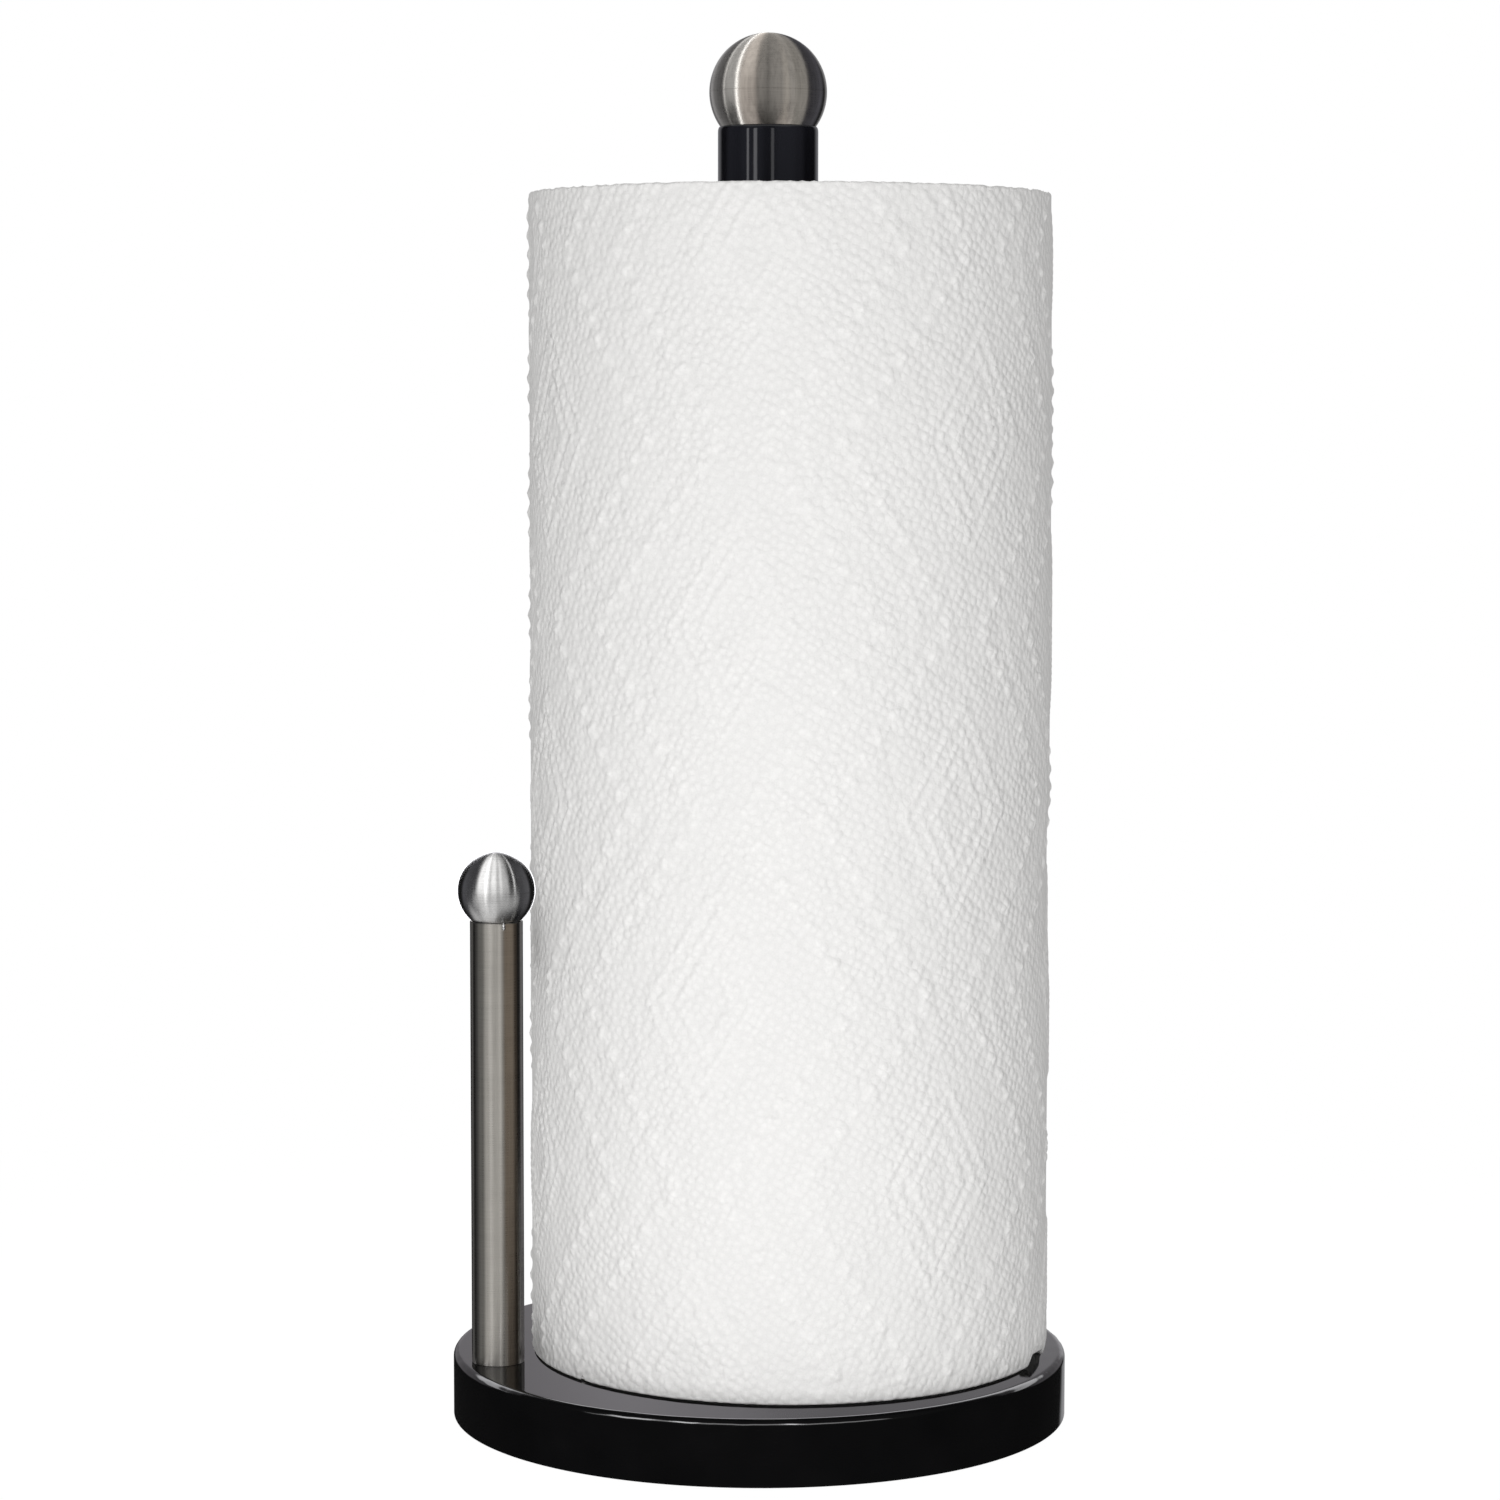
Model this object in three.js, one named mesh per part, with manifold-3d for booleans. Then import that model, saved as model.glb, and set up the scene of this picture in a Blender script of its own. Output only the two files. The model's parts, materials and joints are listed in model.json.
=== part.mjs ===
// A paper towel holder: a round weighted base, an upright tube that ends in a ball, a short side arm
// with a smaller ball, and a roll of paper towels on its card core.
// Millimetres, +Z up. The origin is the centre of the base, on the surface that its feet rest on.

import * as THREE from "three";
import { mergeVertices } from "three/addons/utils/BufferGeometryUtils.js";
import Module from "manifold-3d";

// ---- Driving dimensions ----

// Base
const BASE_RADIUS = 74.65;
const BASE_HEIGHT = 16.1;
const COVER_WALL = 2.2;
const COVER_TOP = 2;
const COVER_LIFT = 0.3; // the cover's rim stands this far above the table
const TOP_EDGE_ROUND = 1.6;
const RIM_ROUND = 0.4;
const FOOT_HEIGHT = 1.7;
const FOOT_RADIUS = 7;
const FOOT_CIRCLE = 60;
const FOOT_COUNT = 4;
const PLATE_THICKNESS = 1.5;
const BALLAST_THICKNESS = 9.5;
const BALLAST_RADIUS = 70.5;
const BOSS_RADIUS = 4.2;
const BOSS_CIRCLE = 55;
const BOSS_COUNT = 3;

// The post and the side arm are built alike: a tube bolted to the base, with a ball on its top.
// rim: how far the tube's top edge is rounded across and up, and how deep its inner chamfer goes.
const POST = {
  name: "post",
  ballName: "finial",
  x: 1.75,
  y: 0,
  radius: 12,
  wall: 1.2,
  top: 311.5,
  rim: { across: 0.5, up: 1.3, chamfer: 0.95 },
  ball: { radius: 14.05, wall: 1, centre: 319.7 },
  bolt: { thread: 3, headRadius: 5.7, headHeight: 4 },
  washer: { radius: 6.2, thickness: 1.6 },
  lockWasher: { radius: 5.4, thickness: 1.2 },
  plugHeight: 12,
  studThread: 3,
  boss: { radius: 6, height: 8 },
  facets: 36,
};
const ARM = {
  name: "arm",
  ballName: "arm_ball",
  x: -62.85,
  y: -17.5,
  radius: 6.3,
  wall: 0.9,
  top: 122.85,
  rim: { across: 0.3, up: 0.3, chamfer: 0.47 },
  ball: { radius: 9.3, wall: 0.9, centre: 130.1 },
  bolt: { thread: 2.5, headRadius: 4.6, headHeight: 3.5 },
  washer: { radius: 5, thickness: 1 },
  lockWasher: null,
  plugHeight: 10,
  studThread: 2,
  boss: { radius: 4, height: 5 },
  facets: 28,
};

// Roll of paper towels, standing on the base and leaning on nothing
const ROLL_X = 7;
const ROLL_Y = 1.2;
const ROLL_HEIGHT = 279.4;
const ROLL_RADIUS = 62.7;
const CORE_INNER_RADIUS = 20.5;
const CORE_WALL = 1;
const SHEET_THICKNESS = 0.4;
const TAIL_ANGLE = 50; // degrees from +X round to +Y: where the last turn of paper ends
const TAIL_GAP = 1.5; // degrees left open between the two ends of the last turn

// Clearances
const RUNNING_GAP = 0.1;
const SEAT_GAP = 0.3;
const HOLE_GAP = 0.3;
const THREAD_GAP = 0.1;
const ROLL_REST_GAP = 0.2;
const OVERSHOOT = 1; // how far a cutter runs past the faces that it cuts through

// Pan-headed screws that hold the bottom plate to the cover's bosses
const SCREW = {
  thread: 1.6,
  length: 9,
  headRadius: 2.8,
  headHeight: 1.1,
  headEdge: 0.35,
  recess: { length: 3.2, width: 0.7, depth: 0.7 },
};
const PILOT_DEPTH = 8.5;

// Facets round a full circle
const BASE_FACETS = 80;
const ROLL_FACETS = 80;
const CORE_FACETS = 40;
const SMALL_FACETS = 20;
const HEXAGON = 6;
const BALL_RINGS = 7; // facets from a ball's equator to its pole, outside
const BALL_INNER_RINGS = 4;
const ROUND_STEPS = 3; // facets in a rounded edge

// Heights worked out from the sizes above
const PLATE_BOTTOM = FOOT_HEIGHT;
const PLATE_TOP = PLATE_BOTTOM + PLATE_THICKNESS;
const COVER_UNDERSIDE = BASE_HEIGHT - COVER_TOP;
const QUARTER = Math.PI / 2;

// ---- Geometry helpers ----

const wasm = await Module();
wasm.setup();

function point(radius, height) {
  return new THREE.Vector2(radius, height);
}

// Points of an arc in the profile plane, from one angle to another, both ends included.
function arc(centre, across, up, from, to, steps) {
  const points = [];
  for (let step = 0; step <= steps; step += 1) {
    const angle = from + ((to - from) * step) / steps;
    points.push(point(centre.x + across * Math.cos(angle), centre.y + up * Math.sin(angle)));
  }
  return points;
}

// A profile of (radius, height) points turned about +Z.
function turned(profile, facets) {
  const geometry = new THREE.LatheGeometry(profile, facets);
  return geometry.rotateX(QUARTER);
}

// A ring between two radii and two heights: its profile closes on itself.
function ring(innerRadius, outerRadius, low, high, facets) {
  const corners = [
    point(innerRadius, low),
    point(outerRadius, low),
    point(outerRadius, high),
    point(innerRadius, high),
  ];
  return turned([...corners, corners[0].clone()], facets);
}

// An upright cylinder between two heights, centred on (x, y).
function rod(radius, low, high, facets, x = 0, y = 0) {
  const geometry = new THREE.CylinderGeometry(radius, radius, high - low, facets);
  return geometry.rotateX(QUARTER).translate(x, y, (low + high) / 2);
}

// A closed geometry as a solid that can be joined and cut.
function solidOf(geometry) {
  const bare = new THREE.BufferGeometry();
  bare.setAttribute("position", geometry.getAttribute("position").clone());
  bare.setIndex(geometry.index);
  const merged = mergeVertices(bare);
  const mesh = new wasm.Mesh({
    numProp: 3,
    vertProperties: merged.attributes.position.array,
    triVerts: Uint32Array.from(merged.index.array),
  });
  return new wasm.Manifold(mesh);
}

function geometryOf(solid) {
  const mesh = solid.getMesh();
  const geometry = new THREE.BufferGeometry();
  geometry.setAttribute("position", new THREE.BufferAttribute(mesh.vertProperties, 3));
  geometry.setIndex(new THREE.BufferAttribute(mesh.triVerts, 1));
  geometry.computeVertexNormals();
  return geometry;
}

// The first geometry with all the others joined to it, then the cutters taken away.
function carved(pieces, cutters) {
  let solid = solidOf(pieces[0]);
  for (const piece of pieces.slice(1)) {
    solid = solid.add(solidOf(piece));
  }
  for (const cutter of cutters) {
    solid = solid.subtract(solidOf(cutter));
  }
  return geometryOf(solid);
}

// Evenly spaced places on a circle about the origin.
function placesOnCircle(radius, count, firstAngle) {
  const places = [];
  for (let index = 0; index < count; index += 1) {
    const angle = firstAngle + (index * 2 * Math.PI) / count;
    places.push(point(radius * Math.cos(angle), radius * Math.sin(angle)));
  }
  return places;
}

// ---- Finishes ----

const GLOSS_BLACK = { color: 0x0b0b0d, roughness: 0.12, metalness: 0 };
const BLACK_ENAMEL = { color: 0x101015, roughness: 0.15, metalness: 0.1 };
const BRUSHED_STEEL = { color: 0xb5aea6, roughness: 0.3, metalness: 1 };
const ZINC_PLATE = { color: 0xc4c4bf, roughness: 0.4, metalness: 1 };
const CAST_IRON = { color: 0x3b3a3a, roughness: 0.75, metalness: 0.7 };
const BLACK_RUBBER = { color: 0x141414, roughness: 0.85, metalness: 0 };
const MATTE_BLACK = { color: 0x1a1a1b, roughness: 0.7, metalness: 0 };
const CARD = { color: 0xa98a63, roughness: 0.9, metalness: 0 };
const WHITE_PAPER = { color: 0xf3f3f1, roughness: 0.9, metalness: 0 };

function part(name, geometry, finish) {
  const mesh = new THREE.Mesh(geometry, new THREE.MeshStandardMaterial(finish));
  mesh.name = name;
  return mesh;
}

// ---- Fasteners ----

// A hexagon-headed bolt with its head below z = 0 and its shank above.
function hexBolt(bolt, length) {
  const head = rod(bolt.headRadius, -bolt.headHeight, 0, HEXAGON);
  const shank = rod(bolt.thread - THREAD_GAP, -bolt.headHeight / 2, length, SMALL_FACETS);
  return carved([head, shank], []);
}

// A split spring washer standing on z = 0.
function splitWasher(innerRadius, washer) {
  const slitWidth = 1;
  const slit = new THREE.BoxGeometry(2 * washer.radius, slitWidth, 3 * washer.thickness);
  slit.translate(washer.radius, 0, 0);
  return carved([ring(innerRadius, washer.radius, 0, washer.thickness, SMALL_FACETS)], [slit]);
}

// A pan-headed screw with its head below z = 0, a cross recess in the head and its shank above.
function panScrew() {
  const shankRadius = SCREW.thread - THREAD_GAP;
  const profile = [
    point(0, -SCREW.headHeight),
    point(SCREW.headRadius - SCREW.headEdge, -SCREW.headHeight),
    point(SCREW.headRadius, SCREW.headEdge - SCREW.headHeight),
    point(SCREW.headRadius, 0),
    point(shankRadius, 0),
    point(shankRadius, SCREW.length - shankRadius),
    point(0, SCREW.length),
  ];
  const { length, width, depth } = SCREW.recess;
  const slot = new THREE.BoxGeometry(length, width, 2 * depth).translate(0, 0, -SCREW.headHeight);
  return carved([turned(profile, SMALL_FACETS)], [slot, slot.clone().rotateZ(QUARTER)]);
}

// ---- Base ----

const bossPlaces = placesOnCircle(BOSS_CIRCLE, BOSS_COUNT, Math.PI / 6);
const footPlaces = placesOnCircle(FOOT_CIRCLE, FOOT_COUNT, Math.PI / 4);

// A hole or a boss at each of several places, between two heights.
function rodsAt(places, radius, low, high) {
  return places.map((place) => rod(radius, low, high, SMALL_FACETS, place.x, place.y));
}

function coverShell() {
  const innerRadius = BASE_RADIUS - COVER_WALL;
  const rimCentre = point(BASE_RADIUS - RIM_ROUND, COVER_LIFT + RIM_ROUND);
  const topCentre = point(BASE_RADIUS - TOP_EDGE_ROUND, BASE_HEIGHT - TOP_EDGE_ROUND);
  return turned(
    [
      point(0, COVER_UNDERSIDE),
      point(innerRadius, COVER_UNDERSIDE),
      point(innerRadius, COVER_LIFT),
      ...arc(rimCentre, RIM_ROUND, RIM_ROUND, -QUARTER, 0, ROUND_STEPS),
      ...arc(topCentre, TOP_EDGE_ROUND, TOP_EDGE_ROUND, 0, QUARTER, ROUND_STEPS),
      point(0, BASE_HEIGHT),
    ],
    BASE_FACETS,
  );
}

// The cover has a blind boss for each screw and a clear hole for each pillar's bolt.
function baseCover() {
  const bosses = rodsAt(bossPlaces, BOSS_RADIUS, PLATE_TOP, COVER_UNDERSIDE + OVERSHOOT);
  const pilots = rodsAt(bossPlaces, SCREW.thread, PLATE_TOP - OVERSHOOT, PLATE_TOP + PILOT_DEPTH);
  const boltHoles = [POST, ARM].flatMap((pillar) =>
    rodsAt(
      [pillar],
      pillar.bolt.thread + HOLE_GAP,
      COVER_UNDERSIDE - OVERSHOOT,
      BASE_HEIGHT + OVERSHOOT,
    ),
  );
  return carved([coverShell(), ...bosses], [...pilots, ...boltHoles]);
}

// The iron disc that weighs the base down, with room for the bolts and the cover's bosses.
function ballastDisc() {
  const edge = 1;
  const postRoom = 10;
  const armRoom = 7.5;
  const top = PLATE_TOP + BALLAST_THICKNESS;
  const low = PLATE_TOP - OVERSHOOT;
  const high = top + OVERSHOOT;
  const disc = turned(
    [
      point(0, PLATE_TOP),
      point(BALLAST_RADIUS - edge, PLATE_TOP),
      point(BALLAST_RADIUS, PLATE_TOP + edge),
      point(BALLAST_RADIUS, top - edge),
      point(BALLAST_RADIUS - edge, top),
      point(0, top),
    ],
    BASE_FACETS,
  );
  return carved(
    [disc],
    [
      ...rodsAt([POST], postRoom, low, high),
      ...rodsAt([ARM], armRoom, low, high),
      ...rodsAt(bossPlaces, BOSS_RADIUS + SEAT_GAP, low, high),
    ],
  );
}

function bottomPlate() {
  const plate = rod(BASE_RADIUS - COVER_WALL - SEAT_GAP, PLATE_BOTTOM, PLATE_TOP, BASE_FACETS);
  const holeRadius = SCREW.thread + HOLE_GAP;
  const holes = rodsAt(bossPlaces, holeRadius, PLATE_BOTTOM - OVERSHOOT, PLATE_TOP + OVERSHOOT);
  return carved([plate], holes);
}

function footPad() {
  const edge = 0.4;
  return turned(
    [
      point(0, 0),
      point(FOOT_RADIUS - edge, 0),
      point(FOOT_RADIUS, edge),
      point(FOOT_RADIUS, FOOT_HEIGHT),
      point(0, FOOT_HEIGHT),
    ],
    SMALL_FACETS,
  );
}

function makeBase() {
  const base = new THREE.Group();
  base.add(part("base_cover", baseCover(), GLOSS_BLACK));
  base.add(part("ballast_disc", ballastDisc(), CAST_IRON));
  base.add(part("bottom_plate", bottomPlate(), MATTE_BLACK));
  footPlaces.forEach((place, index) => {
    const foot = part(`foot_pad_${index + 1}`, footPad(), BLACK_RUBBER);
    foot.position.set(place.x, place.y, 0);
    base.add(foot);
  });
  bossPlaces.forEach((place, index) => {
    const screw = part(`cover_screw_${index + 1}`, panScrew(), ZINC_PLATE);
    screw.position.set(place.x, place.y, PLATE_BOTTOM);
    base.add(screw);
  });
  return base;
}

// ---- Balls: two half shells that meet at the equator ----

function upperShell(ball, facets) {
  const inner = ball.radius - ball.wall;
  const centre = point(0, 0);
  const outline = [
    ...arc(centre, inner, inner, QUARTER, 0, BALL_INNER_RINGS),
    ...arc(centre, ball.radius, ball.radius, 0, QUARTER, BALL_RINGS),
  ];
  outline[0].x = 0;
  outline.at(-1).x = 0;
  return turned(outline, facets);
}

// The lower half has a hole at its foot for the stud.
function lowerShell(ball, holeRadius, facets) {
  const inner = ball.radius - ball.wall;
  const centre = point(0, 0);
  const outerStart = -Math.acos(holeRadius / ball.radius);
  const innerEnd = -Math.acos(holeRadius / inner);
  const outline = [
    ...arc(centre, ball.radius, ball.radius, outerStart, 0, BALL_RINGS),
    ...arc(centre, inner, inner, 0, innerEnd, BALL_INNER_RINGS),
  ];
  return turned([...outline, outline[0].clone()], facets);
}

// ---- Pillars: the post and the side arm ----

// A tube standing on z = 0, rounded at the top outside and chamfered inside to seat a ball.
function ballSeatTube(pillar) {
  const { across, up, chamfer } = pillar.rim;
  const inner = pillar.radius - pillar.wall;
  const top = pillar.top - BASE_HEIGHT;
  const rimCentre = point(pillar.radius - across, top - up);
  const outline = [
    point(inner, 0),
    point(pillar.radius, 0),
    ...arc(rimCentre, across, up, 0, QUARTER, ROUND_STEPS),
    point(inner, top - chamfer),
  ];
  return turned([...outline, outline[0].clone()], pillar.facets);
}

// A plug pressed into the tube, or a boss inside the ball, threaded right through.
function threadedPlug(threadRadius, outerRadius, height) {
  return ring(threadRadius, outerRadius, 0, height, SMALL_FACETS);
}

// The bolt comes up from under the cover, through its washers, into the tube's lower plug.
function addBolting(pillar, place) {
  const { name, bolt, washer, lockWasher } = pillar;
  const holeRadius = bolt.thread + HOLE_GAP;
  const tipClearance = 2;
  let seat = -COVER_TOP - washer.thickness;
  place(`${name}_washer`, ring(holeRadius, washer.radius, 0, washer.thickness, SMALL_FACETS), seat);
  if (lockWasher) {
    seat -= lockWasher.thickness;
    place(`${name}_lock_washer`, splitWasher(holeRadius, lockWasher), seat);
  }
  place(`${name}_bolt`, hexBolt(bolt, pillar.plugHeight - tipClearance - seat), seat);
}

// The ball stands on a stud that is screwed into the tube's upper plug and a boss inside the ball.
function addBallFixing(pillar, place) {
  const { name, ballName, ball, boss, studThread } = pillar;
  const plugRadius = pillar.radius - pillar.wall - RUNNING_GAP / 2;
  const studInset = 1;
  const centre = ball.centre - BASE_HEIGHT;
  const plugLow = centre - ball.radius - SEAT_GAP - pillar.plugHeight;
  const bossLow = centre - Math.sqrt((ball.radius - ball.wall) ** 2 - boss.radius ** 2) + SEAT_GAP;
  const studLow = plugLow + studInset;
  const studHigh = bossLow + boss.height - studInset;
  const stud = rod(studThread - THREAD_GAP, studLow, studHigh, SMALL_FACETS);
  place(`${name}_top_plug`, threadedPlug(studThread, plugRadius, pillar.plugHeight), plugLow);
  place(`${ballName}_stud`, stud, 0);
  place(`${ballName}_boss`, threadedPlug(studThread, boss.radius, boss.height), bossLow);
}

function makePillar(pillar, tubeFinish) {
  const { name, ballName, ball } = pillar;
  const group = new THREE.Group();
  group.position.set(pillar.x, pillar.y, BASE_HEIGHT);
  const place = (partName, geometry, height, finish = ZINC_PLATE) => {
    const mesh = part(partName, geometry, finish);
    mesh.position.z = height;
    group.add(mesh);
  };
  const plugRadius = pillar.radius - pillar.wall - RUNNING_GAP / 2;
  const bottomPlug = threadedPlug(pillar.bolt.thread, plugRadius, pillar.plugHeight);
  const centre = ball.centre - BASE_HEIGHT;
  const holeRadius = pillar.studThread + HOLE_GAP;
  place(`${name}_tube`, ballSeatTube(pillar), 0, tubeFinish);
  place(`${name}_bottom_plug`, bottomPlug, 0);
  addBolting(pillar, place);
  addBallFixing(pillar, place);
  place(`${ballName}_lower_shell`, lowerShell(ball, holeRadius, pillar.facets), centre, BRUSHED_STEEL);
  place(`${ballName}_upper_shell`, upperShell(ball, pillar.facets), centre, BRUSHED_STEEL);
  return group;
}

// ---- Roll of paper towels ----

// The last turn of paper, a thin sheet bent round the roll with its free end at TAIL_ANGLE.
function lastTurn() {
  const outer = ROLL_RADIUS;
  const inner = ROLL_RADIUS - SHEET_THICKNESS;
  const start = THREE.MathUtils.degToRad(TAIL_ANGLE + TAIL_GAP);
  const end = THREE.MathUtils.degToRad(TAIL_ANGLE + 360);
  const outline = new THREE.Shape();
  outline.absarc(0, 0, outer, start, end, false);
  outline.absarc(0, 0, inner, end, start, true);
  return new THREE.ExtrudeGeometry(outline, {
    depth: ROLL_HEIGHT,
    bevelEnabled: false,
    curveSegments: ROLL_FACETS,
  });
}

function makeRoll() {
  const coreOuter = CORE_INNER_RADIUS + CORE_WALL;
  const woundOuter = ROLL_RADIUS - SHEET_THICKNESS - RUNNING_GAP;
  const core = ring(CORE_INNER_RADIUS, coreOuter, 0, ROLL_HEIGHT, CORE_FACETS);
  const wound = ring(coreOuter + RUNNING_GAP, woundOuter, 0, ROLL_HEIGHT, ROLL_FACETS);

  const roll = new THREE.Group();
  roll.position.set(ROLL_X, ROLL_Y, BASE_HEIGHT + ROLL_REST_GAP);
  roll.add(part("roll_core", core, CARD));
  roll.add(part("wound_paper", wound, WHITE_PAPER));
  roll.add(part("last_sheet", lastTurn(), WHITE_PAPER));
  return roll;
}

// ---- The whole holder ----

const holder = new THREE.Group();
holder.add(makeBase());
holder.add(makePillar(POST, BLACK_ENAMEL));
holder.add(makePillar(ARM, BRUSHED_STEEL));
holder.add(makeRoll());

export default holder;
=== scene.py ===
import json
import math

import bpy
import numpy as np
from mathutils import Matrix, Vector


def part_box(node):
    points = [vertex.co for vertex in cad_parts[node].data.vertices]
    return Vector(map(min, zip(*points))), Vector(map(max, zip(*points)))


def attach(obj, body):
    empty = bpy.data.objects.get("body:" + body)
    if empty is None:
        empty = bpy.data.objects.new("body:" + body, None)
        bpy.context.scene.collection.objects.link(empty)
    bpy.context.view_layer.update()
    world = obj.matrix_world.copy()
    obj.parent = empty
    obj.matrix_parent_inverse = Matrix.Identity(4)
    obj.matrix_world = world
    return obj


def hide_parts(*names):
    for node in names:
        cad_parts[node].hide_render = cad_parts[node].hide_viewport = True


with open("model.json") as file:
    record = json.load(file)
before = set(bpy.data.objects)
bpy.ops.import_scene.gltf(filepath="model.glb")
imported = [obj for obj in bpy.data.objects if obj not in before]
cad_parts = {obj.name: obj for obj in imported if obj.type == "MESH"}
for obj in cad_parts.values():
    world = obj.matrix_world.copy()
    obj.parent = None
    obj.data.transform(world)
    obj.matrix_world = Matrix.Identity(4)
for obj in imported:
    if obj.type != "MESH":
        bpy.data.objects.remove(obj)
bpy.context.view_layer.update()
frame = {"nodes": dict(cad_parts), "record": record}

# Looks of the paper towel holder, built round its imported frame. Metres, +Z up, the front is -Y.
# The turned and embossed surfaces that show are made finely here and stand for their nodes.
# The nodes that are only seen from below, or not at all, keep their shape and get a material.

MM = 0.001
MICRON = 0.000001
TURN = 2 * math.pi


# ---- Sizes, from the frame ----

class Turned:
    """The axis, radius and heights of a node that is round about an upright axis."""

    def __init__(self, node):
        low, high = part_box(node)
        self.x = (low.x + high.x) / 2
        self.y = (low.y + high.y) / 2
        self.radius = (high.x - low.x) / 2
        self.low = low.z
        self.high = high.z


cover = Turned("base_cover")
plate = Turned("bottom_plate")
post = Turned("post_tube")
finial_top = Turned("finial_upper_shell")
arm = Turned("arm_tube")
arm_ball_top = Turned("arm_ball_upper_shell")
core = Turned("roll_core")
wound = Turned("wound_paper")
roll_height = wound.high - wound.low

# Walls and edges that a box can't give
COVER_WALL = 2.2 * MM
COVER_TOP = 2 * MM
COVER_EDGE = 1.6 * MM
COVER_RIM = 0.4 * MM
SCREW_BOSS = 4.2 * MM
SCREW_PILOT = 1.6 * MM
SCREW_PILOT_DEPTH = 8.5 * MM
# A rim is how far its rounding reaches across and up, and the height of its inner chamfer.
POST_WALL = 1.2 * MM
POST_RIM = (0.5 * MM, 1.3 * MM, 0.95 * MM)
ARM_WALL = 0.9 * MM
ARM_RIM = (0.3 * MM, 0.3 * MM, 0.47 * MM)
FINIAL_WALL = 1 * MM
ARM_BALL_WALL = 0.9 * MM
CORE_WALL = 1 * MM
STUD_CLEARANCE = 0.3 * MM

# The towel
SHEET_LENGTH = 279.4 * MM  # from one perforation to the next
SHEET_FACE = 62.42 * MM  # radius of the last turn's outer face, without its embossing
SHEET_BACK = 62.08 * MM
PAPER_LIMIT = 62.93 * MM  # the furthest out that the embossing reaches beside the arm's ball
TAIL_ANGLE = math.radians(140)  # the free edge, from the front round to the right
ARM_TOP = arm_ball_top.high


# ---- Mesh helpers ----

made_pieces = []
ON_AXIS = 1e-7  # a smaller radius is one point on the axis


def piece(name, vertices, faces, body, slot, at=(0, 0), sharp=35):
    """A named mesh that rides on a body. Its origin is on its own upright axis.

    sharp is the angle in degrees from which an edge stays sharp.
    """
    mesh = bpy.data.meshes.new(name)
    mesh.from_pydata(vertices, [], faces)
    mesh.validate()
    mesh.polygons.foreach_set("use_smooth", [True] * len(mesh.polygons))
    mesh.set_sharp_from_angle(angle=math.radians(sharp))
    mesh.materials.append(MATERIALS[slot])
    thing = bpy.data.objects.new(name, mesh)
    bpy.context.scene.collection.objects.link(thing)
    thing.location = (at[0], at[1], 0)
    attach(thing, body)
    made_pieces.append(thing)
    return thing


def arc(centre, across, up, start, end, steps):
    """Points (radius, height) of an arc, with both of its ends."""
    angles = [start + (end - start) * step / steps for step in range(steps + 1)]
    return [(centre[0] + across * math.cos(a), centre[1] + up * math.sin(a)) for a in angles]


def turn(profile, segments, shape=None):
    """Vertices and faces of a closed outline of (radius, height) turned about +Z.

    shape(angle, index, radius, height) may move a point, as (radius, height).
    """
    vertices = []
    rows = []
    for index, (radius, height) in enumerate(profile):
        if radius < ON_AXIS:
            rows.append([len(vertices)] * segments)
            vertices.append((0, 0, height))
            continue
        rows.append(list(range(len(vertices), len(vertices) + segments)))
        for step in range(segments):
            angle = TURN * step / segments
            r, z = shape(angle, index, radius, height) if shape else (radius, height)
            vertices.append((r * math.cos(angle), r * math.sin(angle), z))
    faces = []
    for lower, upper in zip(rows, rows[1:] + rows[:1]):
        for step in range(segments):
            after = (step + 1) % segments
            corners = [lower[step], lower[after], upper[after], upper[step]]
            corners = list(dict.fromkeys(corners))
            if len(corners) > 2:
                faces.append(corners)
    return vertices, faces


def joined(*parts):
    """Several (vertices, faces) as one."""
    vertices = []
    faces = []
    for part_vertices, part_faces in parts:
        start = len(vertices)
        vertices += part_vertices
        faces += [[start + corner for corner in face] for face in part_faces]
    return vertices, faces


def moved(part, x, y, z=0):
    vertices, faces = part
    return [(a + x, b + y, c + z) for a, b, c in vertices], faces


def ripple(seed, waves, most):
    """A smooth random function of an angle, from about -1 to 1, the same on every run.

    It is the sum of some waves that each fit into the turn at least 2 and less than most times.
    """
    draw = np.random.default_rng(seed)
    counts = draw.integers(2, most, waves)
    phases = draw.uniform(0, TURN, waves)
    sizes = draw.uniform(0.4, 1, waves) / math.sqrt(waves)

    def value(angle):
        angle = np.asarray(angle, float)
        waves_at = np.sin(angle[..., None] * counts + phases)
        return (waves_at * sizes).sum(-1)

    return value


def smooth_step(share):
    return share * share * (3 - 2 * share)


# ---- Materials ----

def node_in(tree, kind, inputs=None, **settings):
    """A shader node with its settings, and its inputs linked or given a value."""
    made = tree.nodes.new("ShaderNode" + kind)
    for key, value in settings.items():
        setattr(made, key, value)
    for key, value in (inputs or {}).items():
        if isinstance(value, bpy.types.NodeSocket):
            tree.links.new(value, made.inputs[key])
        else:
            made.inputs[key].default_value = value
    return made


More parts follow.
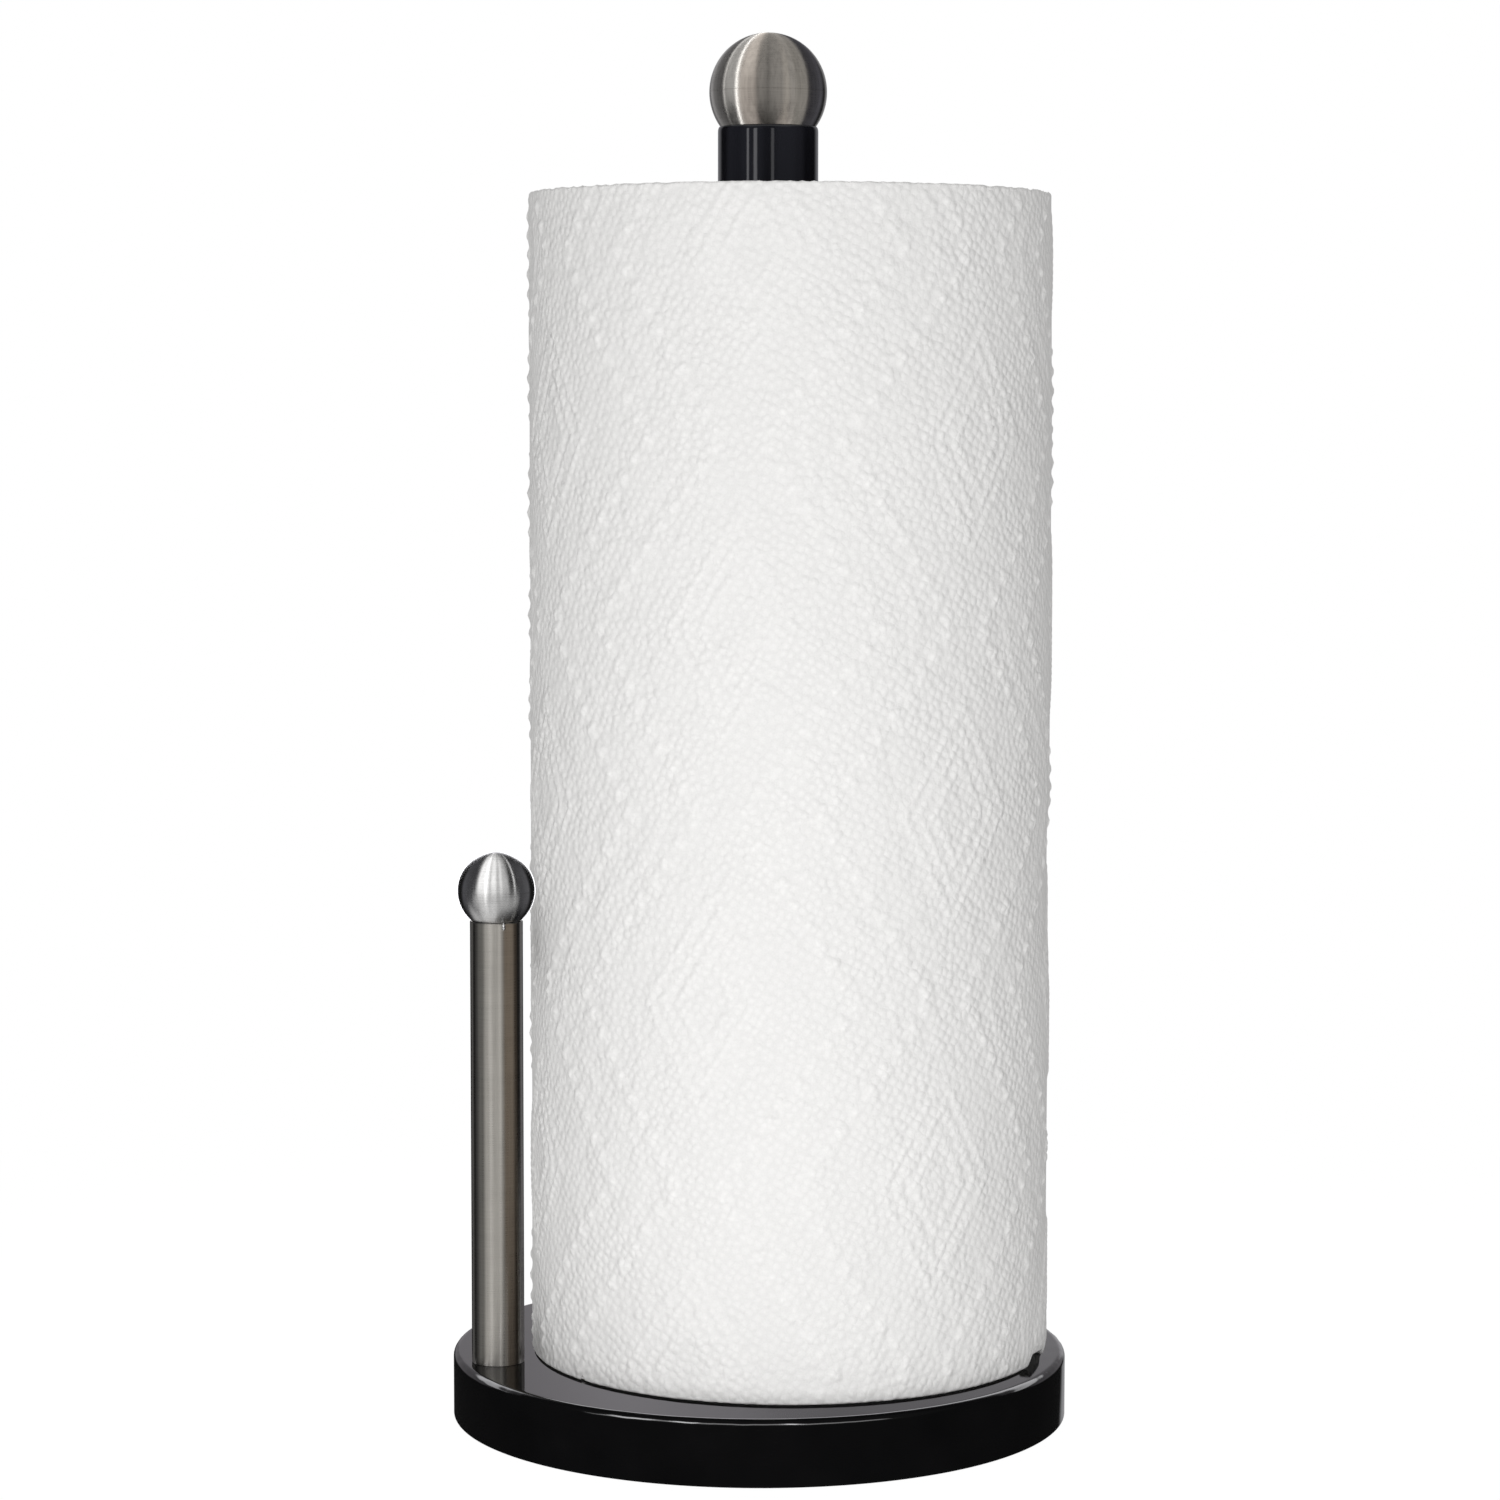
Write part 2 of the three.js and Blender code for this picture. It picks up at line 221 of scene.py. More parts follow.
class Finish:
    """A principled material whose nodes are added by name."""

    def __init__(self, name, colour, roughness, **uniform):
        self.material = bpy.data.materials.new(name)
        self.material.use_nodes = True
        self.tree = self.material.node_tree
        self.surface = self.tree.nodes["Principled BSDF"]
        self.surface.inputs["Base Color"].default_value = (*colour, 1)
        self.surface.inputs["Roughness"].default_value = roughness
        for socket, value in uniform.items():
            self.surface.inputs[socket.replace("_", " ")].default_value = value

    def node(self, kind, inputs=None, **settings):
        return node_in(self.tree, kind, inputs, **settings)

    def link(self, output, socket):
        self.tree.links.new(output, self.surface.inputs[socket])

    def place(self, stretch=(1, 1, 1)):
        """The point on the piece, in metres, stretched along each axis."""
        here = self.node("TexCoord").outputs["Object"]
        return self.node("Mapping", {"Vector": here, "Scale": stretch}).outputs["Vector"]

    def noise(self, scale, stretch=(1, 1, 1), detail=3, sharpness=0.5):
        vector = self.place(stretch)
        inputs = {"Vector": vector, "Scale": scale, "Detail": detail, "Roughness": sharpness}
        return self.node("TexNoise", inputs).outputs["Fac"]

    def math(self, operation, first, second=0.0):
        return self.node("Math", {0: first, 1: second}, operation=operation).outputs[0]

    def blend(self, first, first_share, second, second_share):
        """The sum of two values, each times its share."""
        scaled = self.math("MULTIPLY", first, first_share)
        return self.math("ADD", scaled, self.math("MULTIPLY", second, second_share))

    def axes(self):
        """The X, Y and Z of the point on the piece."""
        here = self.node("TexCoord").outputs["Object"]
        return self.node("SeparateXYZ", {"Vector": here}).outputs

    def span(self, value, low, high, to_low, to_high):
        """value from low to high, as to_low to to_high, held at both ends."""
        inputs = {
            "Value": value,
            "From Min": low,
            "From Max": high,
            "To Min": to_low,
            "To Max": to_high,
        }
        return self.node("MapRange", inputs, clamp=True).outputs["Result"]

    def vary_colour(self, value, dark, light, low=0.3, high=0.7):
        """Base colour between two shades, as value goes from low to high."""
        ramp = self.node("ValToRGB", {"Fac": value})
        ramp.color_ramp.elements[0].position = low
        ramp.color_ramp.elements[0].color = (*dark, 1)
        ramp.color_ramp.elements[1].position = high
        ramp.color_ramp.elements[1].color = (*light, 1)
        self.link(ramp.outputs["Color"], "Base Color")

    def vary_roughness(self, value, smooth, rough, low=0.3, high=0.7):
        self.link(self.span(value, low, high, smooth, rough), "Roughness")

    def bumps(self, *layers):
        """Layers of (height, depth in metres), the coarsest first."""
        normal = None
        for height, depth in layers:
            inputs = {"Height": height, "Distance": depth, "Strength": 1.0}
            if normal:
                inputs["Normal"] = normal
            normal = self.node("Bump", inputs).outputs["Normal"]
        self.link(normal, "Normal")


def shade(colour, times):
    return tuple(min(1, channel * times) for channel in colour)


def gloss_black():
    finish = Finish("gloss_black", (0.0035, 0.0035, 0.0038), 0.05, IOR=1.5)
    cloud = finish.noise(60, detail=4)
    hairlines = finish.noise(40, stretch=(6, 60, 20), detail=2)
    dust = finish.noise(2600, detail=1)
    finish.vary_colour(cloud, (0.0028, 0.0028, 0.003), (0.0045, 0.0044, 0.0047))
    handled = finish.blend(cloud, 1, hairlines, 0.3)
    finish.vary_roughness(handled, smooth=0.035, rough=0.11, low=0.4, high=0.9)
    finish.bumps((finish.noise(45, detail=2), 40 * MICRON), (dust, 4 * MICRON))
    return finish.material


def black_enamel():
    finish = Finish("black_enamel", (0.0075, 0.0075, 0.0105), 0.07, IOR=1.52)
    peel = finish.noise(420, detail=2)
    cloud = finish.noise(90, detail=4)
    finish.vary_colour(cloud, (0.0065, 0.0065, 0.0092), (0.0088, 0.0087, 0.0122))
    finish.vary_roughness(cloud, smooth=0.04, rough=0.09)
    finish.bumps((peel, 4 * MICRON), (finish.noise(3000, detail=1), 1 * MICRON))
    return finish.material


def brushed(name, colour, roughness, grain, marks):
    """Steel brushed round its own upright axis, so that it stretches a light upwards.

    grain is the depth of the brushing, and marks is how strongly its upright marks show.
    """
    finish = Finish(
        name,
        colour,
        roughness,
        Metallic=1.0,
        Anisotropic=1.0,
        Anisotropic_Rotation=0.25,
    )
    lines = finish.noise(1, stretch=(160, 160, 5200), detail=4, sharpness=0.65)
    broad = finish.noise(1, stretch=(25, 25, 300), detail=3)
    wear = finish.noise(110, detail=5)
    upright = finish.noise(1, stretch=(1500, 1500, 40), detail=3)
    both = finish.blend(lines, 0.65, broad, 0.35)
    both = finish.blend(both, 1, finish.math("SUBTRACT", upright, 0.5), marks)
    finish.vary_colour(both, shade(colour, 0.86), shade(colour, 1.1), low=0.35, high=0.65)
    worn = finish.blend(both, 0.7, wear, 0.3)
    finish.vary_roughness(worn, smooth=roughness * 0.86, rough=roughness * 1.14)
    finish.bumps((lines, grain))
    tangent = finish.node("Tangent", direction_type="RADIAL", axis="Z")
    finish.link(tangent.outputs["Tangent"], "Tangent")
    return finish.material


def zinc_steel():
    colour = (0.56, 0.55, 0.52)
    finish = Finish("zinc_steel", colour, 0.4, Metallic=1.0)
    patches = finish.noise(700, detail=4)
    finish.vary_colour(patches, shade(colour, 0.72), shade(colour, 1.15))
    finish.vary_roughness(patches, smooth=0.3, rough=0.5)
    finish.bumps((finish.noise(2500, detail=3), 10 * MICRON))
    return finish.material


def ballast_iron():
    finish = Finish("ballast_iron", (0.05, 0.048, 0.046), 0.75, Metallic=0.7)
    sand = finish.noise(900, detail=5)
    rust = finish.noise(60, detail=5)
    finish.vary_colour(rust, (0.04, 0.04, 0.041), (0.11, 0.06, 0.04), low=0.45, high=0.75)
    finish.vary_roughness(sand, smooth=0.6, rough=0.9)
    finish.bumps((rust, 300 * MICRON), (sand, 120 * MICRON))
    return finish.material


def plate_black():
    finish = Finish("plate_black", (0.02, 0.02, 0.021), 0.6)
    leather = finish.node("TexVoronoi", {"Vector": finish.place(), "Scale": 900.0})
    cloud = finish.noise(50, detail=4)
    finish.vary_colour(cloud, (0.016, 0.016, 0.017), (0.03, 0.03, 0.031))
    finish.vary_roughness(cloud, smooth=0.5, rough=0.7)
    finish.bumps((leather.outputs["Distance"], 80 * MICRON))
    return finish.material


def foot_rubber():
    finish = Finish("foot_rubber", (0.015, 0.015, 0.015), 0.85)
    grain = finish.noise(1600, detail=4)
    scuff = finish.noise(220, detail=5)
    finish.vary_colour(scuff, (0.012, 0.012, 0.012), (0.045, 0.044, 0.042), low=0.4, high=0.8)
    finish.vary_roughness(grain, smooth=0.75, rough=0.95)
    finish.bumps((grain, 60 * MICRON))
    return finish.material


def card():
    """Card wound in a helix, with a seam between its turns."""
    colour = (0.40, 0.27, 0.15)
    helix_pitch = 74 * MM
    seam_share = 0.012
    finish = Finish("card", colour, 0.9)
    fibres = finish.noise(1, stretch=(900, 900, 220), detail=5, sharpness=0.7)
    patches = finish.noise(35, detail=4)
    axes = finish.axes()
    around = finish.math("ARCTAN2", axes["Y"], axes["X"])
    ply = finish.math("FRACT", finish.blend(axes["Z"], 1 / helix_pitch, around, 1 / TURN))
    seam = finish.math("LESS_THAN", ply, seam_share)
    fleck = finish.blend(fibres, 0.6, patches, 0.4)
    lined = finish.blend(fleck, 1, seam, -0.25)
    finish.vary_colour(lined, shade(colour, 0.55), shade(colour, 1.2), low=0.2, high=0.75)
    finish.vary_roughness(fibres, smooth=0.8, rough=0.97)
    finish.bumps((ply, 200 * MICRON), (seam, -200 * MICRON), (fibres, 80 * MICRON))
    return finish.material


PAPER = (0.868, 0.861, 0.85)


def wound_paper():
    """The ends of the wound layers: fine uneven rings, with painted shade in the dips between the
    layers.
    """
    layer = 0.36 * MM
    finish = Finish("wound_paper", PAPER, 0.95, Specular_IOR_Level=0.15)
    axes = finish.axes()
    flat = finish.node("CombineXYZ", {"X": axes["X"], "Y": axes["Y"]})
    radius = finish.node("VectorMath", {0: flat.outputs[0]}, operation="LENGTH").outputs["Value"]
    wander = finish.noise(90, detail=3)
    rings = finish.math("PINGPONG", finish.blend(radius, 1 / layer, wander, 3.5), 0.5)
    fluff = finish.noise(1800, detail=4)
    # Painted shade: the colour is darker where the rings dip between the layers and lighter on their
    # tops.
    tone = finish.blend(rings, 0.9, fluff, 0.5)
    finish.vary_colour(tone, shade(PAPER, 0.72), shade(PAPER, 1.03), low=0.1, high=0.6)
    finish.vary_roughness(fluff, smooth=0.88, rough=1.0)
    finish.bumps((rings, 250 * MICRON), (fluff, 120 * MICRON))
    return finish.material


PEBBLE_PITCH = 2.12 * MM


def towel_paper():
    """Soft paper with small pebbles pressed into it on a slanting grid, and loose fibres, with painted
    shade: its raised parts are painted lighter and its hollows darker.
    """
    finish = Finish("towel_paper", PAPER, 0.92, Specular_IOR_Level=0.2)
    flat = finish.node("Attribute", attribute_name="flat_place").outputs["Vector"]

    def noise(scale, detail):
        inputs = {"Vector": flat, "Scale": scale, "Detail": detail}
        return finish.node("TexNoise", inputs).outputs["Fac"]

    grid = {
        "Vector": flat,
        "Rotation": (0, 0, math.radians(30)),
        "Scale": (1 / PEBBLE_PITCH, 1 / PEBBLE_PITCH, 1),
    }
    slant = finish.node("Mapping", grid).outputs["Vector"]
    cells = {"Vector": slant, "Scale": 1.0, "Randomness": 0.55}
    pebble = finish.node("TexVoronoi", cells, voronoi_dimensions="2D")
    dome = finish.span(pebble.outputs["Distance"], 0.12, 0.56, 1, 0)
    pressed = finish.span(noise(55, 3), 0.35, 0.65, 0.55, 1)
    dome = finish.math("MULTIPLY", dome, pressed)
    fibre = noise(2300, 4)
    # Painted shade: the raised embossing is painted lighter and its grooves darker, by how far the
    # sheet stands out there.
    relief = finish.node("Attribute", attribute_name="relief").outputs["Fac"]
    # Painted shade: the pebble tops are painted lighter than the hollows between them, and the fibres
    # vary the tone at random.
    tone = finish.blend(dome, 0.35, fibre, 0.65)
    tone = finish.blend(tone, 1, relief, 0.48 / MM)
    finish.vary_colour(tone, shade(PAPER, 0.9), shade(PAPER, 1.1), low=0, high=1.1)
    finish.vary_roughness(fibre, smooth=0.85, rough=1.0)
    lumps = noise(115, 2)
    crumple = noise(320, 3)
    finish.bumps(
        (lumps, 900 * MICRON),
        (crumple, 360 * MICRON),
        (dome, 230 * MICRON),
        (fibre, 50 * MICRON),
    )
    return finish.material


MATERIALS = {
    "gloss_black": gloss_black(),
    "black_enamel": black_enamel(),
    "brushed_steel": brushed("brushed_steel", (0.55, 0.53, 0.5), 0.3, grain=2 * MICRON, marks=0.9),
    "polished_steel": brushed("polished_steel", (0.62, 0.615, 0.61), 0.26, grain=1 * MICRON, marks=0.5),
    "zinc_steel": zinc_steel(),
    "ballast_iron": ballast_iron(),
    "plate_black": plate_black(),
    "foot_rubber": foot_rubber(),
    "card": card(),
    "wound_paper": wound_paper(),
    "towel_paper": towel_paper(),
}


def dress_nodes():
    """Every carried-over node gets the material of its slot."""
    for row in frame["record"]["subparts"]:
        node = frame["nodes"][row["node"]]
        for slot in node.material_slots:
            slot.material = MATERIALS[row["material_slot"]]


# ---- Base ----

def make_cover():
    """The pressed cover: a gloss shell with a rounded, slightly uneven top edge and screw bosses."""
    inner = cover.radius - COVER_WALL
    under = cover.high - COVER_TOP
    rim_centre = (cover.radius - COVER_RIM, cover.low + COVER_RIM)
    edge_centre = (cover.radius - COVER_EDGE, cover.high - COVER_EDGE)
    edge_steps = 10
    rings_in_top = (2, 4, 10, 30, 55)  # mm in from the edge
    quarter = math.pi / 2
    lower = [(0, under), (inner, under), (inner, cover.low)]
    rim = arc(rim_centre, COVER_RIM, COVER_RIM, -quarter, 0, 5)
    edge = arc(edge_centre, COVER_EDGE, COVER_EDGE, 0, quarter, edge_steps)
    top = [(cover.radius - inwards * MM, cover.high) for inwards in rings_in_top]
    profile = lower + rim + edge + top + [(0, cover.high)]
    edge_start = len(lower) + len(rim)
    wave = ripple(seed=11, waves=14, most=90)
    deepest = 0.05 * MM

    def uneven(angle, index, radius, height):
        step = index - edge_start
        if not 0 < step < edge_steps:
            return radius, height
        depth = deepest * math.sin(math.pi * step / edge_steps) * float(wave(angle))
        return radius - abs(depth), height - abs(depth)

    parts = [turn(profile, segments=360, shape=uneven)]
    pilot_end = plate.high + SCREW_PILOT_DEPTH
    for number in (1, 2, 3):
        screw = Turned(f"cover_screw_{number}")
        boss = [
            (SCREW_PILOT, plate.high),
            (SCREW_BOSS, plate.high),
            (SCREW_BOSS, under),
            (0, under),
            (0, pilot_end),
            (SCREW_PILOT, pilot_end),
        ]
        parts.append(moved(turn(boss, segments=32), screw.x, screw.y))
    vertices, faces = joined(*parts)
    made = piece("gloss_cover", vertices, faces, "holder", "gloss_black")
    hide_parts("base_cover")


# ---- Post, arm and their balls ----

def make_tube(name, node, slot, wall, rim, segments):
    """A tube whose top edge is rounded outside and chamfered inside, where the ball sits."""
    tube = Turned(node)
    across, up, chamfer = rim
    foot = 0.1 * MM
    inner = tube.radius - wall
    centre = (tube.radius - across, tube.high - up)
    profile = [(inner, tube.low), (tube.radius - foot, tube.low), (tube.radius, tube.low + foot)]
    profile += arc(centre, across, up, 0, math.pi / 2, 8)
    profile += [(inner, tube.high - chamfer)]
    vertices, faces = turn(profile, segments)
    made = piece(name, vertices, faces, "holder", slot, (tube.x, tube.y))
    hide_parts(node)


def make_ball(name, stud, slot, wall, segments):
    """Two half shells that meet at the equator in a fine seam, the lower with a hole for a stud."""
    upper = f"{name}_upper_shell"
    lower = f"{name}_lower_shell"
    top = Turned(upper)
    hole = Turned(stud).radius + STUD_CLEARANCE
    radius = top.radius
    inner = radius - wall
    seam = 0.05 * MM
    tilt = seam / radius
    centre = (0, top.low)
    quarter = math.pi / 2
    seam_bottom = [(radius - seam, top.low)]
    inside_steps = 16
    above = arc(centre, inner, inner, quarter, 0, inside_steps) + seam_bottom
    above += arc(centre, radius, radius, tilt, quarter, 40)
    below = arc(centre, radius, radius, -math.acos(hole / radius), -tilt, 36) + seam_bottom
    below += arc(centre, inner, inner, 0, -math.acos(hole / inner), inside_steps)
    for half, node, outline in (("upper", upper, above), ("lower", lower, below)):
        vertices, faces = turn(outline, segments)
        made = piece(f"{name}_{half}", vertices, faces, "holder", slot, (top.x, top.y))
        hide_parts(node)


def make_weld_bead():
    """A drop of weld on the arm where its ball meets the tube."""
    around = math.radians(-71)
    out = arm.radius + 0.05 * MM
    below_top = 0.75 * MM
    bead_radius = 0.42 * MM
    half_height = 0.95 * MM
    steps = 12
    profile = []
    for step in range(steps + 1):
        along = math.pi * step / steps
        swell = 1 + 0.25 * math.cos(along)
        profile.append((bead_radius * swell * math.sin(along), -half_height * math.cos(along)))
    wobble = ripple(seed=5, waves=4, most=5)

    def lumpy(angle, index, radius, height):
        return radius * (1 + 0.2 * float(wobble(angle + index))), height

    vertices, faces = moved(turn(profile, segments=20, shape=lumpy), 0, 0, arm.high - below_top)
    at = (arm.x + out * math.cos(around), arm.y + out * math.sin(around))
    piece("weld_bead", vertices, faces, "holder", "polished_steel", at)


# ---- The roll ----

def make_core():
    """The card tube, its ends a little rough from the cut."""
    inner = core.radius - CORE_WALL
    rows = 24
    heights = [core.low + (core.high - core.low) * row / rows for row in range(rows + 1)]
    edge = 0.15 * MM
    below_paper = 0.5 * MM
    profile = [(inner + edge, core.low), (core.radius - edge, core.low)]
    profile += [(core.radius, height) for height in heights[1:-1]]
    profile += [(core.radius - edge, core.high), (inner + edge, core.high)]
    profile += [(inner, height) for height in reversed(heights[1:-1])]
    bend = ripple(seed=21, waves=5, most=5)
    bend_depth = 0.12 * MM
    bend_twist = 9  # radians in each metre of height
    cut = ripple(seed=22, waves=12, most=60)
    cut_depth = 0.1 * MM

    def shaped(angle, index, radius, height):
        radius -= bend_depth * abs(float(bend(angle + height * bend_twist)))
        if height > core.high - edge:
            height -= below_paper + cut_depth * float(cut(angle))
        return radius, height

    vertices, faces = turn(profile, segments=120, shape=shaped)
    made = piece("card_core", vertices, faces, "core", "card", (core.x, core.y))
    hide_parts("roll_core")


# A torn place at the foot of the roll, at degrees from the front to the right
NOTCH_FROM = math.radians(66.5)
NOTCH_TO = math.radians(79)
NOTCH_HEIGHT = 2.6 * MM
NOTCH_DEPTH = 9 * MM


def notch(front_angle):
    """How far the paper's lower edge is torn away, at angles measured from the front."""
    steepness = 5
    taper = 0.45
    middle = (NOTCH_FROM + NOTCH_TO) / 2
    half = (NOTCH_TO - NOTCH_FROM) / 2
    turned_to = (front_angle - middle + math.pi) % TURN - math.pi
    across = np.clip((turned_to + half) / (2 * half), 0, 1)
    inside = (across > 0) & (across < 1)
    depth = NOTCH_HEIGHT * np.minimum(1, steepness * across) * (1 - taper * across)
    return np.where(inside, depth, 0)


def make_wound_paper():
    """The wound layers: uneven rings at both ends of the roll, and a plain side."""
    clearance = 0.1 * MM
    outer = SHEET_BACK - clearance
    inner = core.radius + clearance
    layers = 56
    pitch = (outer - inner) / layers
    segments = 240
    step_spread = 0.13 * MM
    deep_share = 0.16
    draw = np.random.default_rng(31)
    layer_step = draw.normal(0, step_spread, layers)
    deep = draw.random(layers) < deep_share
    layer_waves = [ripple(seed=100 + number, waves=5, most=9) for number in range(layers)]
    angles = TURN * np.arange(segments) / segments
    torn = notch(angles + math.pi / 2)
    swell_height = 0.5 * MM
    swell = swell_height * ripple(seed=32, waves=3, most=4)(angles)
    wave_height = 0.16 * MM
    crown_height = 0.45 * MM
    shallow_groove = 0.3 * MM
    deep_groove = 0.75 * MM
    shoulder = 0.06 * MM
    side_inset = 0.2 * MM
    bore_inset = 0.3 * MM

    def end_rows(level, out_of_roll, tear):
        """Rows of (radius, heights) from the core outwards; out_of_roll is 1 at the top, -1 below."""
        rows = []
        for number in range(layers):
            radius = inner + pitch * number
            share = number / (layers - 1)
            crown = -crown_height * abs(2 * share - 1) ** 3
            lean = layer_step[number] + wave_height * layer_waves[number](angles)
            face = np.minimum(crown + lean + swell * (share - 0.5) * 0.5, 0)
            groove = face - (deep_groove if deep[number] else shallow_groove)
            for place, depth in ((0.12, groove), (0.5, face), (0.85, face - shoulder)):
                at = radius + pitch * place
                torn_here = tear * torn * (at > outer - NOTCH_DEPTH)
                rows.append((at, level + out_of_roll * (depth - torn_here)))
        return rows

    bottom = end_rows(wound.low, -1, 1)
    top = end_rows(wound.high, 1, 0)
    rows = bottom + [(outer, bottom[-1][1] + side_inset), (outer, top[-1][1] - side_inset)]
    rows += top[::-1] + [(inner, top[0][1] - bore_inset), (inner, bottom[0][1] + bore_inset)]
    profile = [(radius, 0) for radius, _ in rows]

    def height_from_rows(angle, index, radius, height):
        step = round(angle / TURN * segments) % segments
        return radius, float(rows[index][1][step])

    vertices, faces = turn(profile, segments, shape=height_from_rows)
    at = (wound.x, wound.y)
    made = piece("wound_layers", vertices, faces, "paper", "wound_paper", at, sharp=80)
    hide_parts("wound_paper")
    return made


# The embossing, laid out on the flat sheet: along it from the front to the right, and up it.
COLUMN_PITCH = 58.4 * MM
ROW_PITCH = 86 * MM
FIRST_COLUMN = -16.6 * MM
FIRST_ROW = 178.6 * MM
LEAN = 0.0625  # of the columns, to the right for each step up
DIAMOND = (15 * MM, 25 * MM)  # half its width and height
NESTED = (1, 0.74, 0.47)  # the sizes of the diamonds in one
DOT_DIAMOND = (35 * MM, 50 * MM)  # the rows of dots run round a wider one
DOT_PITCH = 5.6 * MM
DOT_SIZE = 1.25 * MM
DOT_HEIGHT = 0.7 * MM
LINE_SIZE = 0.8 * MM
LINE_HEIGHT = 0.42 * MM
GROOVE_DEPTH = 0.26 * MM
GROOVE_OFFSET = 1.7 * MM  # outwards from its line
CURVE_SWING = 15 * MM
CURVE_SIZE = LINE_SIZE * 1.3
CURVE_HEIGHT = 0.1 * MM
CREASE_HEIGHT = 0.05 * MM


def ridge(distance, size):
    return np.exp(-((distance / size) ** 2))


def embossing(along, up):
    """How far the pattern stands out of the sheet at each point, in metres."""
    leaning = along - LEAN * (up - roll_height / 2) - FIRST_COLUMN
    nearest = np.round(leaning / COLUMN_PITCH)
    out = np.zeros_like(along)
    half_width, half_height = DIAMOND
    to_edge = half_width * half_height / math.hypot(half_width, half_height)
    dots_across, dots_up = DOT_DIAMOND
    edge_length = math.hypot(dots_across, dots_up)
    dots_per_edge = math.floor(ROW_PITCH / 2 / dots_up * edge_length / DOT_PITCH)
    for side in (-1, 0, 1):
        column = nearest + side
        x = np.abs(leaning - column * COLUMN_PITCH)
        stagger = np.where(column % 2 == 0, 0, ROW_PITCH / 2)
        y = np.abs((up - FIRST_ROW - stagger + ROW_PITCH / 2) % ROW_PITCH - ROW_PITCH / 2)
        size = x / half_width + y / half_height
        for nested in NESTED:
            line = ridge((size - nested) * to_edge, LINE_SIZE)
            groove = ridge((size - nested) * to_edge - GROOVE_OFFSET, LINE_SIZE)
            out = out + LINE_HEIGHT * line - GROOVE_DEPTH * groove
        run = ((dots_across - x) * dots_across + y * dots_up) / edge_length
        off = ((x - dots_across) * dots_up + y * dots_across) / edge_length
        number = np.clip(np.round(run / DOT_PITCH), 0, dots_per_edge)
        dot = ridge(np.hypot(run - number * DOT_PITCH, off), DOT_SIZE)
        out = np.maximum(out, DOT_HEIGHT * dot)
        curve = COLUMN_PITCH / 2 + CURVE_SWING * np.cos(TURN * y / ROW_PITCH)
        out = out + CURVE_HEIGHT * ridge(x - curve, CURVE_SIZE)
    return out


def creases(along, up):
    """The sheet's own slackness: long soft waves that are different everywhere."""
    draw = np.random.default_rng(41)
    waves = 22
    shortest = 16
    longest = 80
    total = np.zeros_like(along)
    for _ in range(waves):
        length = draw.uniform(shortest, longest) * MM
        heading = draw.uniform(0, TURN)
        phase = draw.uniform(0, TURN)
        across = along * math.cos(heading) + up * math.sin(heading)
        total += np.sin(across / length * TURN + phase) * (length / (longest * MM)) ** 0.5
    return total / math.sqrt(waves)


def slack(front_angle, height):
    """How far the turn hangs loose on its right side, except where it passes the arm's ball."""
    loosest = 0.8 * MM
    middle, half_width, soft = 92, 12, 70  # degrees from the front to the right
    side = fade(np.abs(np.degrees(front_angle) - middle), half_width, soft)
    ball = (arm_ball_top.low - arm_ball_top.radius + arm_ball_top.high) / 2
    passing = np.clip((np.abs(height - ball) - 10 * MM) / (16 * MM), 0, 1)
    near_top = np.clip((wound.high - height) / (60 * MM), 0, 1)
    return loosest * side * smooth_step(passing) * near_top


def sheet_rows(rows):
    """Heights on the flat sheet, close together at both of its edges."""
    edge = np.array((0, 0.15, 0.3, 0.5, 0.8)) * MM
    inset = 1.3 * MM
    even = np.linspace(inset, roll_height - inset, rows + 1 - 2 * len(edge))
    return np.concatenate([edge, even, roll_height - edge[::-1]])


def sheet_radius(relief, up, height):
    """The outer face under this relief. Its edges turn under, and it keeps clear of the arm's ball."""
    fade_reach, least_relief = 2.5 * MM, 0.15
    ball_zone, ball_blend, free_reach = 11 * MM, 8 * MM, 0.8 * MM
    under_reach, under_depth = 0.5 * MM, 0.35 * MM
    from_edge = np.minimum(up, roll_height - up)
    radius = SHEET_FACE + relief * np.clip(from_edge / fade_reach, least_relief, 1)
    from_ball = np.abs(height - (arm_ball_top.high - arm_ball_top.radius))
    beyond_ball = np.clip((from_ball - ball_zone) / ball_blend, 0, 1)
    radius = np.minimum(radius, PAPER_LIMIT + free_reach * beyond_ball)
    return radius - under_depth * np.clip(1 - from_edge / under_reach, 0, 1) ** 2


def tail_lift(from_tail, height):
    """How far the free edge stands off the roll: hardly at all as low as the arm, further above it."""
    reach, least, most = 26 * MM, 0.12 * MM, 2.1 * MM
    start, blend = 12 * MM, 90 * MM  # above the arm
    above_arm = np.clip((height - ARM_TOP - start) / blend, 0, 1)
    curl = np.clip(1 - from_tail / reach, 0, 1) ** 2
    return curl * (least + most * above_arm ** 2)


def uneven_edges(front_angle, up):
    """How far the cut edges wander up and down, with the notch and a short slit in the lower one."""
    reach, low_depth, high_depth = 4 * MM, 0.12 * MM, 0.3 * MM
    slit, slit_reach, slit_height = math.radians(-51.6), 2 * MM, 1.5 * MM
    low_wave = np.abs(ripple(seed=51, waves=16, most=120)(front_angle))
    high_wave = np.abs(ripple(seed=52, waves=14, most=90)(front_angle))
    near_low = np.clip(1 - up / reach, 0, 1)
    near_high = np.clip(1 - (roll_height - up) / reach, 0, 1)
    rise = near_low * (low_depth * low_wave - low_depth) - near_high * high_depth * high_wave
    rise = rise + near_low * notch(front_angle)
    column = int(np.argmin(np.abs(front_angle[:, 0] - slit)))
    if abs(front_angle[column, 0] - slit) < front_angle[0, 0] - front_angle[1, 0]:
        rise[column] += np.clip(1 - up[column] / slit_reach, 0, 1) * slit_height
    return rise


